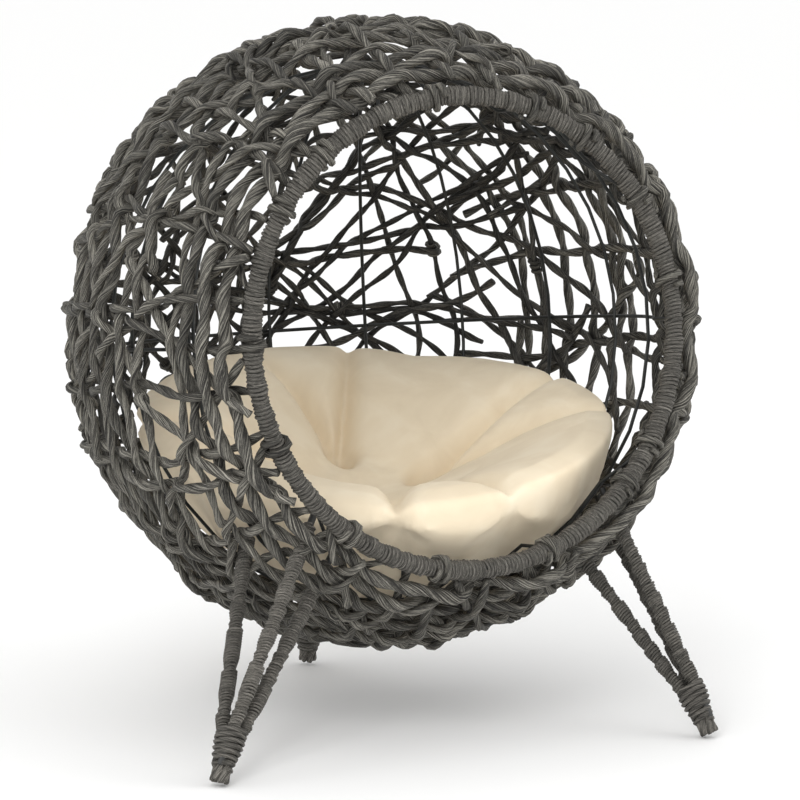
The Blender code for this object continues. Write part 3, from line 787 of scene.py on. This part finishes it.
def velvet_finish():
    """Cream velvet with brushed patches and a fine pile."""
    finish = bpy.data.materials.new("cream_velvet")
    finish.use_nodes = True
    tree = finish.node_tree
    shader = tree.nodes["Principled BSDF"]
    shader.inputs["Roughness"].default_value = 0.9
    shader.inputs["Specular IOR Level"].default_value = 0.2
    shader.inputs["Sheen Weight"].default_value = 0.2
    shader.inputs["Sheen Roughness"].default_value = 0.45
    shader.inputs["Sheen Tint"].default_value = (1.0, 0.93, 0.80, 1)
    place = tree.nodes.new("ShaderNodeTexCoord")
    brushed = node(tree, "ShaderNodeTexNoise", Scale=22.0, Detail=3.0, Roughness=0.55, Distortion=0.8)
    pile = node(tree, "ShaderNodeTexNoise", Scale=900.0, Detail=2.0, Roughness=0.6)
    for texture in (brushed, pile):
        tree.links.new(place.outputs["Object"], texture.inputs["Vector"])
    colour = ramp(
        tree, brushed.outputs["Fac"], [(0.36, VELVET_DARK), (0.52, VELVET_MIDDLE), (0.66, VELVET_PALE)]
    )
    tree.links.new(colour, shader.inputs["Base Color"])
    bump = node(tree, "ShaderNodeBump", Strength=0.25, Distance=0.0006)
    tree.links.new(pile.outputs["Fac"], bump.inputs["Height"])
    tree.links.new(bump.outputs["Normal"], shader.inputs["Normal"])
    return finish


# %% [markdown]
# ## Inflating the cushion
# The cover could be sculpted, but cloth blown up by pressure swells the way a stuffed cover does.
# Cloth needs small even faces, so the form is remeshed first. The tufts and creases are pinned by
# a vertex group, and no point may move too far.

# %% Inflate
VOXEL = 0.005
PRESSURE = 4.0
SIM_FRAMES = 20
SIM_QUALITY = 5
MOST_MOVED = 0.016
TUFT_HOLD, CREASE_HOLD = 1.2, 0.8  # how firmly each is pinned, where 1 is fully
LEAST_HOLD = 0.05
UNDERSIDE_DEPTH = 0.02  # nothing is pinned this near the bowl


def local_of(points):
    """Reach, direction and height of points in the cushion's own frame."""
    offset = points - ball_centre
    x, y = offset @ toward_right, offset @ cushion_back
    return np.hypot(x, y), np.arctan2(x, -y), offset @ cushion_axis


def bowl_height(reach):
    """Height of the bowl that the cushion lies in."""
    return -np.sqrt(np.clip(bowl_radius**2 - reach**2, 0, None))


def mesh_points(mesh):
    """A mesh's points as an array."""
    points = np.empty(len(mesh.vertices) * 3)
    mesh.vertices.foreach_get("co", points)
    return points.reshape(-1, 3)


def pin_folds(piece):
    """A vertex group that holds the tufts and creases."""
    reach, angle, height = local_of(mesh_points(piece.data))
    tuft, crease = held_amount(reach, angle)
    facing_up = height > bowl_height(reach) + UNDERSIDE_DEPTH
    held = np.clip(tuft * TUFT_HOLD + crease * CREASE_HOLD, 0, 1) * facing_up
    group = piece.vertex_groups.new(name="held")
    for number in np.nonzero(held > LEAST_HOLD)[0]:
        group.add([int(number)], float(held[number]), "REPLACE")
    return group


def inflate(piece):
    """Remesh the form, blow it up with cloth, limit its movement, and subdivide it."""
    bpy.context.view_layer.objects.active = piece
    remesh = piece.modifiers.new("even_faces", "REMESH")
    remesh.mode = "VOXEL"
    remesh.voxel_size = VOXEL
    bpy.ops.object.modifier_apply(modifier=remesh.name)
    before = mesh_points(piece.data)
    group = pin_folds(piece)
    cloth = piece.modifiers.new("velvet", "CLOTH")
    cloth.settings.use_pressure = True
    cloth.settings.uniform_pressure_force = PRESSURE
    cloth.settings.effector_weights.gravity = 0
    cloth.settings.vertex_group_mass = group.name
    cloth.settings.quality = SIM_QUALITY
    for number in range(1, SIM_FRAMES + 1):
        bpy.context.scene.frame_set(number)
    bpy.ops.object.modifier_apply(modifier=cloth.name)
    bpy.context.scene.frame_set(1)
    moved = mesh_points(piece.data) - before
    far = np.linalg.norm(moved, axis=1, keepdims=True)
    after = before + moved * np.minimum(1, MOST_MOVED / np.maximum(far, 1e-9))
    piece.data.vertices.foreach_set("co", after.ravel())
    smooth = piece.modifiers.new("soften", "SUBSURF")
    smooth.levels = 1
    bpy.ops.object.modifier_apply(modifier=smooth.name)
    print("cushion moved by at most", round(float(far.max()), 4))


# %% [markdown]
# ## Folds and fullness set from given numbers
# The simulation leaves the folds shallow and the roll the same all round. The real cushion has
# sharp folds and stands higher at its front right. A finer simulation wasn't tried. Both are set
# with given numbers instead: the folds are pressed in again, wide and then narrow, and the roll is lifted
# and pushed outward. The cover is then kept inside the bowl.

# %% Press the folds and raise the front
CREASE_PRESS = 0.008
TUFT_PRESS = 0.010
FOLD_WIDTH = 0.0042  # a crease's sharp bottom
FOLD_PRESS = 0.0060
PINCH_WIDTH = 0.006  # a tuft's sharp bottom
PINCH_PRESS = 0.006
FREE_DEPTH = 0.045  # the cover moves freely from this far above the bowl
FRONT_RISE = 0.030
FRONT_DIRECTION = math.radians(52)
FRONT_PUSH = 0.6  # how far the roll goes outward, as a share of its rise
ROLL_START = 0.6  # the rise starts here, as a share of the reach to the roll's top
BOWL_MARGIN = 0.0005


def press_and_raise(piece):
    """Press the folds in, raise the front right, and keep the cover inside the bowl."""
    points = mesh_points(piece.data)
    reach, angle, height = local_of(points)
    upper = np.clip((height - bowl_height(reach)) / FREE_DEPTH, 0, 1)
    upper = upper**2 * (3 - 2 * upper)
    tuft, crease = held_amount(reach, angle)
    pinch, fold = held_amount(reach, angle, PINCH_WIDTH, FOLD_WIDTH)
    pressed = (crease**2 * CREASE_PRESS + tuft * TUFT_PRESS) * upper
    pressed += (fold * FOLD_PRESS + pinch * PINCH_PRESS) * upper
    on_roll = np.clip((reach - ROLL_START * roll_reach) / ((1 - ROLL_START) * roll_reach), 0, 1)
    raised = FRONT_RISE * np.clip(np.cos(angle - FRONT_DIRECTION), 0, 1) * on_roll * upper
    away = np.sin(angle)[:, None] * toward_right - np.cos(angle)[:, None] * cushion_back
    points = points + (raised - pressed)[:, None] * cushion_axis + FRONT_PUSH * raised[:, None] * away
    offset = points - ball_centre
    distance = np.linalg.norm(offset, axis=1, keepdims=True)
    points = ball_centre + offset * np.minimum(1, (bowl_radius - BOWL_MARGIN) / distance)
    piece.data.vertices.foreach_set("co", points.ravel())
    piece.data.update()
    print("cushion raised by at most", round(float(raised.max()), 4))


# %% Make the cushion
cushion = placed("tufted_cushion", cushion_form(), velvet_finish())
inflate(cushion)
press_and_raise(cushion)
cushion.data.shade_smooth()
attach(cushion, "cushion")
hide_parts("cushion")

# %% [markdown]
# ## Steel wire
# The cage is thin dark wire. It could be drawn again as curves, but its CAD pieces already have
# the right shape, so they stay and only get a painted finish, uneven in tone and roughness.

# %% Finish the wires
PALER = 2.2  # the worn patches against the paint


def steel_finish(name, colour):
    """Dark painted steel."""
    finish = bpy.data.materials.new(name)
    finish.use_nodes = True
    tree = finish.node_tree
    shader = tree.nodes["Principled BSDF"]
    shader.inputs["Metallic"].default_value = 0.6
    place = tree.nodes.new("ShaderNodeTexCoord")
    worn = node(tree, "ShaderNodeTexNoise", Scale=60.0, Detail=4.0)
    tree.links.new(place.outputs["Object"], worn.inputs["Vector"])
    pale = tuple(channel * PALER for channel in colour)
    shade = ramp(tree, worn.outputs["Fac"], [(0.4, colour), (0.7, pale)])
    tree.links.new(shade, shader.inputs["Base Color"])
    rough = node(tree, "ShaderNodeMapRange")
    rough.inputs["To Min"].default_value = 0.3
    rough.inputs["To Max"].default_value = 0.6
    tree.links.new(worn.outputs["Fac"], rough.inputs["Value"])
    tree.links.new(rough.outputs["Result"], shader.inputs["Roughness"])
    return finish


wire_finish = steel_finish("painted_wire", (0.020, 0.021, 0.020))
rod_finish = steel_finish("painted_rod", (0.030, 0.030, 0.029))
painted = 0
for part in frame["record"]["subparts"]:
    finish = {"frame_wire": wire_finish, "frame_rod": rod_finish}.get(part["material_slot"])
    if finish is None:
        continue
    piece = frame["nodes"][part["node"]]
    for slot_number in range(max(1, len(piece.material_slots))):
        if piece.material_slots:
            piece.material_slots[slot_number].material = finish
        else:
            piece.data.materials.append(finish)
    painted += 1
print("painted", painted, "steel pieces")

# %% [markdown]
# ## Floor, light and camera
# A pale floor and wide soft lights show the weave without hard shadows. The camera stands well
# back with a long lens, a little above the doorway's middle and to its left.

# %% Stage
floor_mesh = bpy.data.meshes.new("floor")
FLOOR_HALF = 40.0
floor_corners = [(-FLOOR_HALF, -FLOOR_HALF, 0), (FLOOR_HALF, -FLOOR_HALF, 0)]
floor_corners += [(FLOOR_HALF, FLOOR_HALF, 0), (-FLOOR_HALF, FLOOR_HALF, 0)]
floor_mesh.from_pydata(floor_corners, [], [(0, 1, 2, 3)])
floor = bpy.data.objects.new("floor", floor_mesh)
bpy.context.scene.collection.objects.link(floor)
floor_finish = bpy.data.materials.new("pale_floor")
floor_finish.use_nodes = True
floor_shader = floor_finish.node_tree.nodes["Principled BSDF"]
floor_shader.inputs["Base Color"].default_value = (0.93, 0.93, 0.925, 1)
floor_shader.inputs["Roughness"].default_value = 0.9
floor_mesh.materials.append(floor_finish)
print("floor half width", FLOOR_HALF)

# %% Light
SKY_STRENGTH = 1.06
sky = bpy.data.worlds.new("studio")
sky.use_nodes = True
sky.node_tree.nodes["Background"].inputs["Color"].default_value = (1, 1, 1, 1)
sky.node_tree.nodes["Background"].inputs["Strength"].default_value = SKY_STRENGTH
bpy.context.scene.world = sky
bpy.context.scene.view_settings.view_transform = "Standard"


def softbox(name, place, size, power):
    """A square area light aimed at the ball."""
    lamp = bpy.data.lights.new(name, "AREA")
    lamp.size = size
    lamp.energy = power
    light = bpy.data.objects.new(name, lamp)
    light.location = place
    aim = Vector(ball_centre) - Vector(place)
    light.rotation_mode = "QUATERNION"
    light.rotation_quaternion = aim.to_track_quat("-Z", "Y")
    bpy.context.scene.collection.objects.link(light)


softbox("key", (-1.9, -2.2, 2.2), 1.4, 38)
softbox("fill", (2.2, -1.8, 1.4), 1.8, 14)

# %% Camera
CAMERA_AZIMUTH = math.radians(-26.3)
CAMERA_ELEVATION = math.radians(8.0)
CAMERA_DISTANCE = 12 * ball_radius
CAMERA_LENS = 172.0
CAMERA_SHIFT = (0.0239, -0.0859)
back = Vector(
    (
        math.sin(CAMERA_AZIMUTH) * math.cos(CAMERA_ELEVATION),
        -math.cos(CAMERA_AZIMUTH) * math.cos(CAMERA_ELEVATION),
        math.sin(CAMERA_ELEVATION),
    )
)
camera_data = bpy.data.cameras.new("camera")
camera_data.lens = CAMERA_LENS
camera_data.shift_x, camera_data.shift_y = CAMERA_SHIFT
camera = bpy.data.objects.new("camera", camera_data)
camera.location = Vector(ball_centre) + back * CAMERA_DISTANCE
camera.rotation_mode = "QUATERNION"
camera.rotation_quaternion = (-back).to_track_quat("-Z", "Y")
bpy.context.scene.collection.objects.link(camera)
bpy.context.scene.camera = camera
print("camera", [round(value, 3) for value in camera.location])
